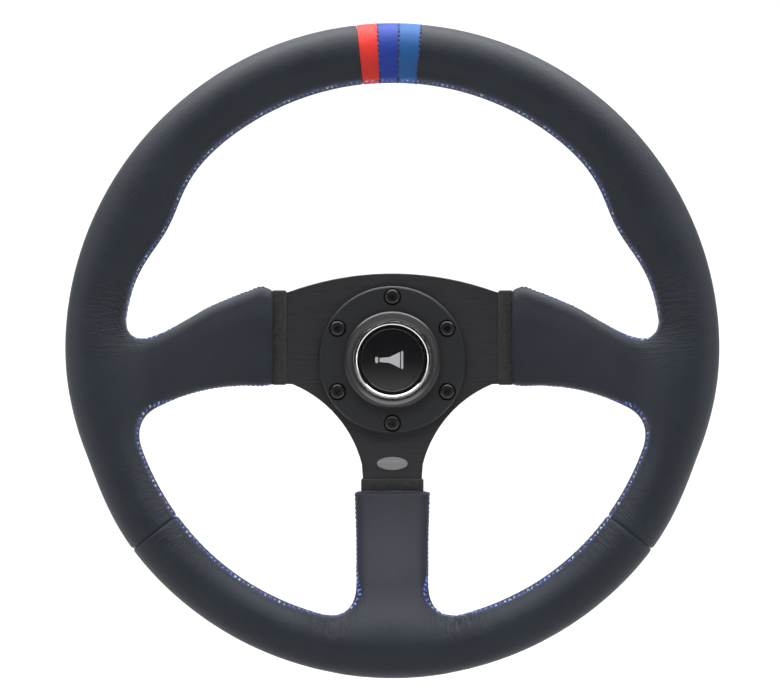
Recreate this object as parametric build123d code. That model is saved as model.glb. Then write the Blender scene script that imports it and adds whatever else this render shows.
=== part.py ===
from build123d import *
import os
from math import atan, cos, radians, sin

# Sport steering wheel on a ball-lock quick release. Millimetres, +Z up (12 o'clock), +X to the
# driver's right. The hub axis is the Y axis and the driver sits towards -Y. A "depth" is the distance
# in front of the column hub's rear face, towards the driver, so depth 54 lies at y = -54.

os.makedirs("parts", exist_ok=True)

# --- driving dimensions -------------------------------------------------------------------------
BOLT_CIRCLE_R = 35.0  # six M5 screws on a 70 mm circle, at both ends of the quick release
BOLT_COUNT = 6
CLEARANCE_HOLE_R = 2.65
TAPPED_HOLE_R = 2.5
SHANK_R = 2.45
FLANGE_R = 42.0

HUB_FLANGE = 10.0  # column hub: flange, then splined root, then plain spigot
SPLINE_END = 22.0
SPIGOT_TIP = 34.5
SPLINE_ROOT_R = 20.3
SPLINE_CREST_R = 22.0
SPLINE_TEETH = 12
TOOTH_WIDTH = 5.0
KEY_TOOTH_WIDTH = 9.0  # the one wide tooth, at 12 o'clock, so the wheel only goes on straight
SPIGOT_R = 20.0
COLUMN_BORE_R = 12.0
RUNNING_FIT = 0.05
SLIDING_FIT = 0.1

BALL_R = 4.0
BALL_COUNT = 6
BALL_DEPTH = 29.0
BALL_CIRCLE_R = 22.5  # ball centres when locked: each ball stands 1.5 mm into the spigot's groove
BALL_LIFT = 1.9  # how far a ball moves out while the collar makes its travel
COLLAR_TRAVEL = 6.0

BARREL_R = 26.5  # wheel coupler: barrel over the spigot, then the flange the spokes bolt to
COUPLER_FLANGE = (40.0, 50.0)
COLLAR_R = 40.0
COLLAR_BACK = 13.6
COLLAR_FRONT = 33.8
SPRING_POCKET = (30.5, 35.5, 22.0)  # inner radius, outer radius, depth of the pocket's floor
SPRING_WIRE_R = 0.8
SPRING_TURNS = 5

PLATE = (50.0, 54.0)  # spoke plate, 4 mm thick
PLATE_HOLE_R = 24.5
PLATE_EDGE_BREAK = 0.4
RING_R = 41.0
RING_FRONT = 58.5
COUNTERBORE_R = 4.9
COUNTERBORE_FLOOR = 56.3
HEAD_R = 4.25

RIM_OUTER_R = 175.0  # 350 mm over the grip
RIM_RISE = 5.0  # the rim's centre stands above the hub axis
DISH = 38.0  # rim mid plane in front of the spoke plate
GRIP_R = 15.25
LEATHER = 1.4
CORE_TUBE_R = 5.0
THUMB_CLOCK = 61.0  # thumb bulges, degrees from 12 o'clock to either side
THUMB_R = 15.6
THUMB_HALF_LENGTH = 62.0
THUMB_CENTRE_R = 152.7
SEAM_CLOCK = 127.4  # butt seams between the side and lower leathers
STRIPES = {"stripe_red": (-6.3, -2.65), "stripe_dark_blue": (-2.65, 1.2), "stripe_light_blue": (1.2, 5.1)}

SIDE_SLEEVE = 66.3  # where the leather sleeves of the spokes start, from the hub axis
LOWER_SLEEVE = 73.0

RIM_DEPTH = PLATE[1] + DISH
RIM_CENTRE_R = RIM_OUTER_R - GRIP_R


# --- drawing helpers ----------------------------------------------------------------------------
def plane_at(depth):
    """Plane square to the hub axis, seen from the driver; extruding goes towards the driver."""
    return Plane.XZ.offset(depth)


def prism(outline, back, front):
    """Outline in the driver's view made solid between two depths."""
    return extrude(plane_at(back) * outline, amount=front - back, dir=(0, -1, 0))


def disc(radius, back, front):
    return prism(Circle(radius), back, front)


def tube(outer, inner, back, front):
    return disc(outer, back, front) - disc(inner, back, front)


def turned(*profile):
    """Solid turned about the hub axis from (radius, depth) corners."""
    return revolve(Polygon(*[(r, -d) for r, d in profile], align=None), axis=Axis.Y)


def clock(angle, radius):
    """(x, z) of a point at a clock angle, in degrees clockwise from 12 o'clock."""
    return radius * sin(radians(angle)), radius * cos(radians(angle))


def around(count, radius, start=0.0):
    return [clock(start + 360 * k / count, radius) for k in range(count)]


def round_holes(points, radius, back, front):
    spots = Sketch() + [Pos(x, z) * Circle(radius) for x, z in points]
    return prism(spots, back, front)


def hoop(ring_r, section_r):
    """Round-section ring about the rim's own axis, in the rim's mid plane."""
    return Pos(0, -RIM_DEPTH, RIM_RISE) * Rot(90, 0, 0) * Torus(ring_r, section_r)


def sector(start, end):
    """Wedge between two clock angles about the rim's centre, deep enough to cut the whole grip."""
    reach = 2 * RIM_OUTER_R
    middle = (start + end) / 2
    corners = [(0, 0)] + [clock(a, reach) for a in (start, (start + middle) / 2, middle, (middle + end) / 2, end)]
    return Pos(0, 0, RIM_RISE) * prism(Polygon(*corners, align=None), 0, 2 * RIM_DEPTH)


def slab(profile, along):
    """Plate of the given (distance from axis, depth) outline, wide enough to cut an arm from.
    along is "X" for an outline that runs out sideways and "Z" for one that runs downwards."""
    if along == "X":
        face = Polygon(*[(x, -d) for x, d in profile], align=None)
    else:
        face = Plane.YZ * Polygon(*[(-d, -z) for z, d in profile], align=None)
    return extrude(face, amount=RIM_OUTER_R, both=True)


def mirrored(shape):
    return shape + mirror(shape, about=Plane.YZ)


def keep(node, shape):
    export_step(shape, f"parts/{node}.step")


# --- quick release: the half that stays on the steering column ----------------------------------
def spline_section(gap):
    """Twelve-tooth spline, one tooth wide; gap opens it all round for the female half."""
    bars = Sketch()
    for k in range(SPLINE_TEETH):
        width = (KEY_TOOTH_WIDTH if k == 0 else TOOTH_WIDTH) + 2 * gap
        bars += Rot(0, 0, -360 * k / SPLINE_TEETH) * Pos(0, SPIGOT_R) * Rectangle(width, BALL_R * 2)
    return Circle(SPLINE_ROOT_R + gap) + (Circle(SPLINE_CREST_R + gap) & bars)


def column_hub():
    body = disc(FLANGE_R, 0, HUB_FLANGE) + disc(SPIGOT_R, SPLINE_END, SPIGOT_TIP)
    body += prism(spline_section(0), HUB_FLANGE, SPLINE_END)
    body = chamfer(body.edges().filter_by(GeomType.CIRCLE).sort_by(Axis.Y)[0], 1.0)
    body = chamfer(body.edges().filter_by(GeomType.CIRCLE).group_by(Axis.Y)[-1], 0.8)
    body -= disc(COLUMN_BORE_R, 0, SPIGOT_TIP)
    groove_r = BALL_R + 0.15
    body -= revolve(Pos(BALL_CIRCLE_R, -BALL_DEPTH) * Circle(groove_r), axis=Axis.Y)
    screws = around(BOLT_COUNT, BOLT_CIRCLE_R)
    body -= round_holes(screws, CLEARANCE_HOLE_R, 0, HUB_FLANGE)
    for x, z in screws:
        sink = Cone(CLEARANCE_HOLE_R, 5.2, 5.2 - CLEARANCE_HOLE_R, align=(Align.CENTER, Align.CENTER, Align.MAX))
        body -= plane_at(HUB_FLANGE) * Pos(x, z) * sink
    return body


CONTACT_FACE = SPIGOT_TIP - 0.1
PIN_R = 1.25
PIN_CIRCLE_R = 7.0
RING_CONTACT = (5.0, 9.0, CONTACT_FACE - 1.0)  # inner radius, outer radius, back


def column_contact():
    """Insulating plug in the mouth of the column bore, with a groove for the horn's contact ring."""
    plug = disc(COLUMN_BORE_R - RUNNING_FIT, SPIGOT_TIP - 9, CONTACT_FACE)
    plug -= disc(2.0, 0, SPIGOT_TIP)
    inner, outer, back = RING_CONTACT
    return plug - tube(outer + RUNNING_FIT, inner - RUNNING_FIT, back, CONTACT_FACE)


def column_contact_ring():
    inner, outer, back = RING_CONTACT
    return tube(outer, inner, back, CONTACT_FACE)


# --- quick release: the half on the wheel -------------------------------------------------------
BLOCK_R = 14.0
BLOCK = (36.0, 44.0)
HORN_RECESS_R = 27.0
RING_GROOVE = (12.2, 13.4)  # snap ring, back and front
SNAP_RING = (25.3, 28.5)


def wheel_coupler():
    back = HUB_FLANGE + SLIDING_FIT
    body = disc(BARREL_R, back, COUPLER_FLANGE[0]) + disc(FLANGE_R, *COUPLER_FLANGE)
    body = chamfer(body.edges().filter_by(GeomType.CIRCLE).group_by(Axis.Y)[-1], 0.8)
    body -= prism(spline_section(SLIDING_FIT), back, SPLINE_END + SLIDING_FIT)
    body -= disc(SPIGOT_R + RUNNING_FIT, back, BLOCK[0])
    body -= disc(BLOCK_R + RUNNING_FIT, *BLOCK)
    body -= disc(HORN_RECESS_R, BLOCK[1], COUPLER_FLANGE[1])
    body -= tube(BARREL_R + 1, SNAP_RING[0], *RING_GROOVE)
    body -= round_holes(around(BOLT_COUNT, BOLT_CIRCLE_R), TAPPED_HOLE_R, COUPLER_FLANGE[0] + 1, COUPLER_FLANGE[1])
    for k in range(BALL_COUNT):
        hole = Pos(0, -BALL_DEPTH, BALL_CIRCLE_R) * Cylinder(BALL_R + RUNNING_FIT, 16)
        body -= hole.rotate(Axis.Y, ball_clock(k))
    return body


def ball_clock(k):
    """Clock angle of ball k; the balls sit between the screws."""
    return 30 + 360 * k / BALL_COUNT


def lock_ball(k):
    x, z = clock(ball_clock(k), BALL_CIRCLE_R)
    return Pos(x, -BALL_DEPTH, z) * Sphere(BALL_R)


def release_collar():
    """Sliding collar. Its bore flares to the rear on the slope that the balls climb as it is drawn
    forward: at rest the narrow land holds them in the groove, at full travel the flare lets them out."""
    slope = BALL_LIFT / COLLAR_TRAVEL
    cam_gap = 0.3
    land = BARREL_R + SLIDING_FIT
    flare = BALL_CIRCLE_R + BALL_LIFT + BALL_R + cam_gap
    ramp_at_ball = BALL_CIRCLE_R + BALL_R / cos(atan(slope)) + cam_gap
    ramp_front = BALL_DEPTH + (ramp_at_ball - land) / slope
    ramp_back = BALL_DEPTH - (flare - ramp_at_ball) / slope
    flare_back = BALL_DEPTH - COLLAR_TRAVEL - BALL_R - 0.5
    pocket_in, pocket_out, floor = SPRING_POCKET
    bevel = 1.5
    body = turned(
        (land, COLLAR_BACK),
        (COLLAR_R - bevel, COLLAR_BACK),
        (COLLAR_R, COLLAR_BACK + bevel),
        (COLLAR_R, COLLAR_FRONT - bevel),
        (COLLAR_R - bevel, COLLAR_FRONT),
        (pocket_out, COLLAR_FRONT),
        (pocket_out, floor),
        (pocket_in, floor),
        (pocket_in, COLLAR_FRONT),
        (land, COLLAR_FRONT),
        (land, ramp_front),
        (flare, ramp_back),
        (flare, flare_back),
        (land, flare_back),
    )
    scallop_r = 6.0
    scallops = around(12, COLLAR_R + scallop_r - 2, start=15)
    return body - round_holes(scallops, scallop_r, COLLAR_BACK + 3, COLLAR_FRONT - 3)


def collar_spring():
    pocket_in, pocket_out, floor = SPRING_POCKET
    mean_r = (pocket_in + pocket_out) / 2
    start = floor + SPRING_WIRE_R + SLIDING_FIT
    length = COUPLER_FLANGE[0] - SPRING_WIRE_R - SLIDING_FIT - start
    path = Helix(length / SPRING_TURNS, length, mean_r, center=(0, -start, 0), direction=(0, -1, 0))
    return sweep(Plane(path @ 0, z_dir=path % 0) * Circle(SPRING_WIRE_R), path=path)


def collar_snap_ring():
    """Open wire ring in the barrel's groove: the collar's rear stop."""
    ring = tube(SNAP_RING[1], SNAP_RING[0] + RUNNING_FIT, RING_GROOVE[0] + RUNNING_FIT, RING_GROOVE[1])
    return ring - Pos(0, -RING_GROOVE[0], -SNAP_RING[1]) * Box(5, 6, 10)


def pin_spots():
    return around(2, PIN_CIRCLE_R, start=90)


def coupler_contact_block():
    return disc(BLOCK_R, *BLOCK) - round_holes(pin_spots(), PIN_R + RUNNING_FIT, *BLOCK)


def contact_pins():
    """Two spring pins that bear on the column's contact ring, with solder tails behind the horn."""
    pins = round_holes(pin_spots(), PIN_R, CONTACT_FACE + SLIDING_FIT, BLOCK[1] + 2)
    return pins


# --- spokes -------------------------------------------------------------------------------------
ARM_BEND = (66.0, 146.0)  # the arms leave the hub plane and reach the rim plane here
ARM_RISE = RIM_DEPTH + 2 - PLATE[1]


def arm_profile(end, bend=ARM_BEND):
    """Dished arm seen edge on: (distance from the hub axis, depth) corners."""
    inner, outer = bend
    back, front = PLATE
    return [
        (inner - 6, back),
        (inner - 6, front),
        (inner, front),
        (outer, front + ARM_RISE),
        (end, front + ARM_RISE),
        (end, back + ARM_RISE),
        (outer + 1, back + ARM_RISE),
        (inner + 1, back),
    ]


def hub_outline():
    """Flat middle of the spoke plate: arched top edge, square ends, hollow flanks, straight tail."""
    top = ThreePointArc((-58, 37.8), (0, 48.2), (58, 37.8))
    right = Polyline((58, 37.8), (66, 36), (66, -13), (55.5, -13.5))
    right_flank = ThreePointArc((55.5, -13.5), (30.6, -31.6), (17, -58))
    tail = Polyline((17, -58), (16.4, -66), (16.4, -70), (-16.4, -70), (-16.4, -66), (-17, -58))
    left_flank = ThreePointArc((-17, -58), (-30.6, -31.6), (-55.5, -13.5))
    left = Polyline((-55.5, -13.5), (-66, -13), (-66, 36), (-58, 37.8))
    return make_face(top + right + right_flank + tail + left_flank + left)


def spoke_plate():
    """Hub and three dished arms in one piece of 4 mm aluminium; the arm ends saddle the rim core."""
    body = prism(hub_outline(), *PLATE)
    body = chamfer(body.edges().filter_by(GeomType.CIRCLE), PLATE_EDGE_BREAK)
    upper_edge = [(60, 36), (66, 35), (90, 28), (124, 8), (156, 6)]
    lower_edge = [(156, -18), (110, -12.5), (60, -12)]
    arm = Polygon(*upper_edge, *lower_edge, align=None)
    side = prism(arm, 0, 2 * RIM_DEPTH) & slab(arm_profile(157), "X")
    body += mirrored(side)
    tail = Polygon((-16.4, -64), (16.4, -64), (13, -153), (-13, -153), align=None)
    body += prism(tail, 0, 2 * RIM_DEPTH) & slab(arm_profile(152, bend=(70.0, 142.0)), "Z")
    body -= disc(PLATE_HOLE_R, *PLATE)
    body -= round_holes(around(BOLT_COUNT, BOLT_CIRCLE_R), CLEARANCE_HOLE_R, *PLATE)
    return body - hoop(RIM_CENTRE_R, CORE_TUBE_R + RUNNING_FIT)


def rim_core():
    """Steel tube hoop inside the rim."""
    return hoop(RIM_CENTRE_R, CORE_TUBE_R) - hoop(RIM_CENTRE_R, CORE_TUBE_R - 1.5)


def spoke_badge():
    """Plain oval trim plate on the tail, with a raised edge."""
    plate = prism(Pos(0, -57.5) * Ellipse(8.5, 3.6), PLATE[1], PLATE[1] + 0.5)
    return plate - prism(Pos(0, -57.5) * Ellipse(7.7, 2.8), PLATE[1] + 0.3, PLATE[1] + 0.5)


# --- grip: foam over the core and arms, leather over the foam -----------------------------------
def side_sleeve_outline():
    """Right spoke sleeve seen from the driver, flowing into the rim above and below."""
    start = SIDE_SLEEVE
    outline = Polyline((start, -14.4), (start, 41), (72, 41))
    outline += ThreePointArc((72, 41), (101.2, 28.9), (126, 13.8))
    outline += ThreePointArc((126, 13.8), (136, 13.9), (141.4, 24))
    outline += Polyline((141.4, 24), (156, 24), (156, -44), (135.2, -44))
    outline += ThreePointArc((135.2, -44), (132.8, -31.5), (124, -24.2))
    outline += ThreePointArc((124, -24.2), (104, -17.2), (82, -14.4))
    outline += Line((82, -14.4), (start, -14.4))
    return make_face(outline)


def lower_sleeve_outline():
    half = Polyline((0, -LOWER_SLEEVE), (21, -LOWER_SLEEVE), (19.8, -118))
    half += ThreePointArc((19.8, -118), (23, -130.5), (33, -137))
    half += Polyline((33, -137), (33, -157), (0, -157), (0, -LOWER_SLEEVE))
    return mirrored(make_face(half))


def grip(growth):
    """The whole padded rim with its spoke sleeves; growth 0 is the leather's outside, and a negative
    growth the same shape that much smaller all round."""
    body = hoop(RIM_CENTRE_R, GRIP_R + growth)
    half = Ellipse(THUMB_HALF_LENGTH + growth, THUMB_R + growth) & Pos(0, 50) * Rectangle(200, 100)
    bulge = revolve(half, axis=Axis.X)
    x, z = clock(THUMB_CLOCK, THUMB_CENTRE_R)
    body += mirrored(Pos(x, -RIM_DEPTH, z + RIM_RISE) * Rot(0, THUMB_CLOCK, 0) * bulge)
    for outline, start, along in (
        (side_sleeve_outline(), SIDE_SLEEVE, "X"),
        (lower_sleeve_outline(), LOWER_SLEEVE, "Z"),
    ):
        near, far, end = start - growth, 140, 153
        profile = [
            (near, 45 - growth),
            (near, 59 + growth),
            (far, 100 + growth),
            (end, 103 + growth),
            (end, 81 - growth),
            (far, 80 - growth),
        ]
        face = offset(outline, amount=growth, kind=Kind.INTERSECTION) if growth else outline
        sleeve = prism(face, 0, 2 * RIM_DEPTH) & slab(profile, along)
        body += mirrored(sleeve) if along == "X" else sleeve
    return body


def seam_stitching():
    """The sewing thread along the inside of the rim, as one plain cord over each open stretch."""
    thread_r = 0.5
    ring_r = RIM_OUTER_R - 2 * GRIP_R - thread_r - SLIDING_FIT
    section = Pos(ring_r, -RIM_DEPTH) * Circle(thread_r)
    runs = []
    for start, end in ((-34, 34), (110, 162), (198, 250)):
        run = revolve(section, axis=Axis.Y, revolution_arc=end - start)
        runs.append(Pos(0, 0, RIM_RISE) * run.rotate(Axis.Y, start - 90))
    return Compound(children=runs)


def edging(outline_box):
    """Thin band wrapped round a bare arm where its leather sleeve starts."""
    x0, x1, z0, z1 = outline_box
    band = Pos((x0 + x1) / 2, -(PLATE[0] + PLATE[1]) / 2, (z0 + z1) / 2)
    return band * Box(x1 - x0, PLATE[1] - PLATE[0] + 1.6, z1 - z0)


# --- centre: retaining ring, screws and horn button ---------------------------------------------
HOUSING_R = 23.8
HOUSING_COLLAR_R = 26.7
HOUSING_FRONT = 63.2
HOUSING_BACK = 48.0
HOUSING_FLOOR = 51.0
CAVITY_R = 20.3
BEZEL = (19.25, 21.85, 60.4)  # inner radius, outer radius, back
CAP_R = 17.35
CAP_FLANGE_R = 19.9
CAP_FLANGE = (58.0, 60.1)
CAP_FRONT = 64.6
HORN_TRAVEL = 2.0


def retaining_ring():
    ring = disc(RING_R, PLATE[1], RING_FRONT)
    ring = fillet(ring.edges().sort_by(Axis.Y)[0], 1.5)
    ring -= disc(HOUSING_R + RUNNING_FIT, PLATE[1], RING_FRONT)
    screws = around(BOLT_COUNT, BOLT_CIRCLE_R)
    ring -= round_holes(screws, CLEARANCE_HOLE_R, PLATE[1], RING_FRONT)
    return ring - round_holes(screws, COUNTERBORE_R, COUNTERBORE_FLOOR, RING_FRONT)


def wheel_bolt():
    """M5 screw with a domed head and a hexagon socket, on the hub axis."""
    tip = COUPLER_FLANGE[0] + 2
    crown = COUNTERBORE_FLOOR + 2.8
    head = disc(HEAD_R, COUNTERBORE_FLOOR, crown)
    head = fillet(head.edges().sort_by(Axis.Y)[0], 1.4)
    screw = disc(SHANK_R, tip, COUNTERBORE_FLOOR) + head
    return screw - prism(RegularPolygon(1.75, 6), crown - 1.8, crown)


def wheel_bolts():
    screw = wheel_bolt()
    return Compound(children=[Pos(x, 0, z) * screw for x, z in around(BOLT_COUNT, BOLT_CIRCLE_R)])


def horn_housing():
    """Cup pushed in through the retaining ring; its collar rests on the ring and dips to the bezel."""
    crest = HOUSING_COLLAR_R - 1.3
    collar = turned(
        (0, RING_FRONT),
        (HOUSING_COLLAR_R, RING_FRONT),
        (HOUSING_COLLAR_R, HOUSING_FRONT - 1.1),
        (crest + 0.6, HOUSING_FRONT - 0.2),
        (crest, HOUSING_FRONT),
        (crest - 0.7, HOUSING_FRONT - 0.2),
        (BEZEL[1], HOUSING_FRONT - 1.8),
        (0, HOUSING_FRONT - 1.8),
    )
    body = disc(HOUSING_R, HOUSING_BACK, RING_FRONT) + collar
    body -= disc(CAVITY_R, HOUSING_FLOOR, HOUSING_FRONT)
    body -= disc(BEZEL[1] + RUNNING_FIT, BEZEL[2], HOUSING_FRONT)
    return body - round_holes(terminal_spots(), 1.3, HOUSING_BACK, HOUSING_FLOOR)


def horn_bezel():
    """Bright ring with a narrow outer ridge and a broad inner one."""
    inner, outer, back = BEZEL
    return turned(
        (inner, back),
        (outer, back),
        (outer, 62.4),
        (outer - 0.2, 62.75),
        (outer - 0.5, 62.75),
        (outer - 0.8, 62.3),
        (outer - 1.05, 62.9),
        (outer - 1.4, 63.3),
        (inner + 0.7, 63.4),
        (inner + 0.2, 63.1),
        (inner, 62.6),
    )


def horn_cap():
    body = disc(CAP_FLANGE_R, *CAP_FLANGE) + disc(CAP_R, CAP_FLANGE[1], CAP_FRONT)
    dome_r = 150.0
    body &= Pos(0, dome_r - CAP_FRONT, 0) * Sphere(dome_r)
    body = chamfer(body.edges().filter_by(GeomType.CIRCLE).sort_by(Axis.Y)[0], 0.35)
    return body - disc(9.0, CAP_FLANGE[0], CAP_FLANGE[0] + 4)


def horn_symbol():
    """Thin inlay on the cap: the usual pictogram of a signal horn."""
    bell = make_face(Polyline((-7.0, -1.1), (-7.0, 1.1), (-1.5, 1.6), (4.2, 4.4), (4.2, -4.4), (-1.5, -1.6), close=True))
    rim = Pos(5.4, 0) * RectangleRounded(1.2, 9.8, 0.55)
    mouth = Pos(-8.6, 0) * RectangleRounded(1.6, 3.4, 0.7)
    return prism(bell + rim + mouth, CAP_FRONT - 0.15, CAP_FRONT + 0.2)


def horn_moving_contact():
    return tube(17.0, 14.6, CAP_FLANGE[0] - 0.8, CAP_FLANGE[0])


def horn_fixed_contact():
    front = CAP_FLANGE[0] - 0.8 - HORN_TRAVEL - SLIDING_FIT
    return tube(17.0, 14.6, HOUSING_FLOOR, front)


def horn_spring():
    start = HOUSING_FLOOR + 0.6
    length = CAP_FLANGE[0] - 0.6 - start
    path = Helix(length / 4, length, 11.5, center=(0, -start, 0), direction=(0, -1, 0))
    return sweep(Plane(path @ 0, z_dir=path % 0) * Circle(0.5), path=path)


def terminal_spots():
    return around(2, 9.0, start=90)


def horn_terminals():
    """Two blade terminals through the housing floor, each on a round rivet."""
    blades = []
    for x, z in terminal_spots():
        rivet = Pos(x, 0, z) * disc(1.25, HOUSING_BACK - 0.5, HOUSING_FLOOR + 0.5)
        blade = Pos(x, -HOUSING_BACK + 1.75, z) * Box(0.8, 3.5, 4.8)
        blades.append(rivet + blade)
    return Compound(children=blades)


# --- write the nodes ----------------------------------------------------------------------------
keep("column_hub", column_hub())
keep("column_contact", column_contact())
keep("column_contact_ring", column_contact_ring())

keep("wheel_coupler", wheel_coupler())
keep("release_collar", release_collar())
keep("collar_spring", collar_spring())
keep("collar_snap_ring", collar_snap_ring())
for ball in range(BALL_COUNT):
    keep(f"lock_ball_{ball + 1}", lock_ball(ball))
keep("coupler_contact_block", coupler_contact_block())
keep("contact_pins", contact_pins())

plate = spoke_plate()
keep("spoke_plate", plate)
keep("rim_core", rim_core())
keep("spoke_badge", spoke_badge())

leather_outside = grip(0)
foam = grip(-LEATHER)
core_space = hoop(RIM_CENTRE_R, CORE_TUBE_R)
keep("grip_foam", foam - plate - core_space)
skin = leather_outside - foam - plate
keep("left_grip_leather", skin & sector(360 - SEAM_CLOCK, 360 + STRIPES["stripe_red"][0]))
keep("right_grip_leather", skin & sector(STRIPES["stripe_light_blue"][1], SEAM_CLOCK))
keep("lower_grip_leather", skin & sector(SEAM_CLOCK, 360 - SEAM_CLOCK))
for node, (start, end) in STRIPES.items():
    keep(node, skin & sector(start, end))

keep("seam_stitching", seam_stitching())
keep("left_spoke_edging", edging((-66, -59, -13.9, 38.8)) - plate)
keep("right_spoke_edging", edging((59, 66, -13.9, 38.8)) - plate)
keep("lower_spoke_edging", edging((-17.4, 17.4, -LOWER_SLEEVE + 0.3, -66)) - plate)

keep("retaining_ring", retaining_ring())
keep("wheel_bolts", wheel_bolts())
keep("horn_housing", horn_housing())
keep("horn_bezel", horn_bezel())
keep("horn_cap", horn_cap() - horn_symbol())
keep("horn_symbol", horn_symbol())
keep("horn_moving_contact", horn_moving_contact())
keep("horn_fixed_contact", horn_fixed_contact())
keep("horn_spring", horn_spring())
keep("horn_terminals", horn_terminals())
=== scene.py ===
import math

import bmesh
import bpy
import numpy as np
from mathutils import Matrix, Vector, kdtree


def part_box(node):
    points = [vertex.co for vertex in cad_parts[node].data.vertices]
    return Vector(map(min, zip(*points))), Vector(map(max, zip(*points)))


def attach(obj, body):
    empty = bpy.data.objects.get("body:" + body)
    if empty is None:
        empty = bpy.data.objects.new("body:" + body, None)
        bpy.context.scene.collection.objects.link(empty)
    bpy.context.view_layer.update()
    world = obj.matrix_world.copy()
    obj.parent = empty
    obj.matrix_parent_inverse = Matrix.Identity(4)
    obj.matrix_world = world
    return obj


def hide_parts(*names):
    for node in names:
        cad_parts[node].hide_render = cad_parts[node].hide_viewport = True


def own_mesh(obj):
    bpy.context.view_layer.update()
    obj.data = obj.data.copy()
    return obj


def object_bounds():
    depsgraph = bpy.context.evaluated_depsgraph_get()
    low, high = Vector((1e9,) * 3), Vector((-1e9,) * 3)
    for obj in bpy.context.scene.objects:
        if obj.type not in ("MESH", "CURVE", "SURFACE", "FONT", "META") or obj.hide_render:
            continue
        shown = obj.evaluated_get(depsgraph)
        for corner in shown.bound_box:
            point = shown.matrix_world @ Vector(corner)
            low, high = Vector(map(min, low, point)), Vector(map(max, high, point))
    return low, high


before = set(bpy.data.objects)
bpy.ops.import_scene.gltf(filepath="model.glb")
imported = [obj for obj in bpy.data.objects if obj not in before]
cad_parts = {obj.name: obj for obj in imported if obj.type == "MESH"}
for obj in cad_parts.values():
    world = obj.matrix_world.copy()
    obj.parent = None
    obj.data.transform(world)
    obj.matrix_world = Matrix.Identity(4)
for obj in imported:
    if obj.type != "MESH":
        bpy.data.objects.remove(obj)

cad_low, cad_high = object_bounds()
MM = 0.001


# ---- Grip body ---------------------------------------------------------------------------------
# The padded rim with its three spoke sleeves: foam moulded in one piece over a steel hoop and over
# the ends of the spoke plate. Its outside is a round tube that swells at the thumbs, thins towards
# 6 o'clock and is slightly flattened at 4 and 8, and it flows into the flat sleeves of the spokes.
hoop_low, hoop_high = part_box("rim_core")
rim_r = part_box("right_grip_leather")[1].x
rim_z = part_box("stripe_dark_blue")[1].z - rim_r
rim_y = (hoop_low.y + hoop_high.y) / 2
hoop_r = (hoop_high.x - hoop_low.x) / 2 - (hoop_high.y - hoop_low.y) / 2
grip_half_depth = -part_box("stripe_dark_blue")[0].y + rim_y
EDGING_GAP = 0.3 * MM
side_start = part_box("right_spoke_edging")[1].x + EDGING_GAP
lower_start = -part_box("lower_spoke_edging")[0].z + EDGING_GAP
sleeve_depth = (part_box("right_spoke_edging")[0].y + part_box("right_spoke_edging")[1].y) / 2

# Outlines in millimetres: distance from the hub's axis, then height, half width or depth there.
SIDE_TOP = [
    (66, 38.4), (71.5, 40.9), (80, 38.3), (90, 34.1), (101, 28.8),
    (112, 21.9), (124, 14.9), (133, 11.6), (150, 9),
]
SIDE_BOTTOM = [(66, -14.0), (72, -14.6), (82, -14.4), (99, -15.9), (116, -20.6), (129, -26.5), (150, -37)]
LOWER_WIDTH = [(73, 21.0), (80, 20.7), (96, 20.0), (118, 19.6), (150, 19.6)]
MIDDLE_DEPTH = [(60, 0), (66, 0), (74, 3.2), (130, 33), (140, 37.2), (148, 38.6), (165, 38.6)]
HALF_DEPTH = [(60, 5.4), (72, 5.8), (100, 7.2), (130, 8.6), (150, 8.4), (165, 7.5)]
INNER_R, INNER_GROWTH, THUMB_SWELL = 143.5 * MM, 2.5 * MM, 6.6 * MM
FLAT_DEPTH = 2.4 * MM
LOWER_THINNING = 0.9 * MM
SHOULDER = 6.2 * MM
CROWN = 2.4 * MM
SLEEVE_END_BLEND = 1.8 * MM
FOAM_DEPTH = 1.7 * MM


def through(points, x):
    """Height at x of a smooth curve through the given points, all in millimetres; x in metres."""
    xs, ys = np.array(points, float).T * MM
    slopes = np.gradient(ys, xs)
    x = np.clip(x, xs[0], xs[-1])
    i = np.clip(np.searchsorted(xs, x, side="right") - 1, 0, len(xs) - 2)
    span = xs[i + 1] - xs[i]
    t = (x - xs[i]) / span
    start = ys[i] * (1 + 2 * t) * (1 - t) ** 2 + slopes[i] * span * t * (1 - t) ** 2
    return start + ys[i + 1] * t * t * (3 - 2 * t) + slopes[i + 1] * span * t * t * (t - 1)


def swell(value, centre, spread):
    return np.exp(-(((value - centre) / spread) ** 2) / 2)


def ramp(value, low, high):
    t = np.clip((value - low) / (high - low), 0, 1)
    return t * t * (3 - 2 * t)


def merge(a, b, blend):
    """The union of two shapes with a fillet about blend wide where they meet."""
    h = np.maximum(blend - np.abs(a - b), 0) / blend
    return np.minimum(a, b) - h * h * blend / 4


def rim_polar(points):
    """Clock angle in degrees, 0 at 12 and 180 at 6 on either side, and distance from the rim's axis."""
    x, z = points[:, 0], points[:, 2] - rim_z
    return np.degrees(np.arctan2(np.abs(x), z)), np.hypot(x, z)


def rim_distance(points):
    angle, reach = rim_polar(points)
    inner = INNER_R + INNER_GROWTH * ramp(angle, 95, 150) - THUMB_SWELL * swell(angle, 61.5, 7.2)
    outer = rim_r - FLAT_DEPTH * swell(angle, 110, 8)
    half = (outer - inner) / 2
    depth = grip_half_depth - LOWER_THINNING * ramp(angle, 90, 150) - 0.2 * MM
    u = (reach - (outer + inner) / 2) / half
    v = (points[:, 1] - rim_y) / depth
    return (np.hypot(u, v) - 1) * depth


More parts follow.
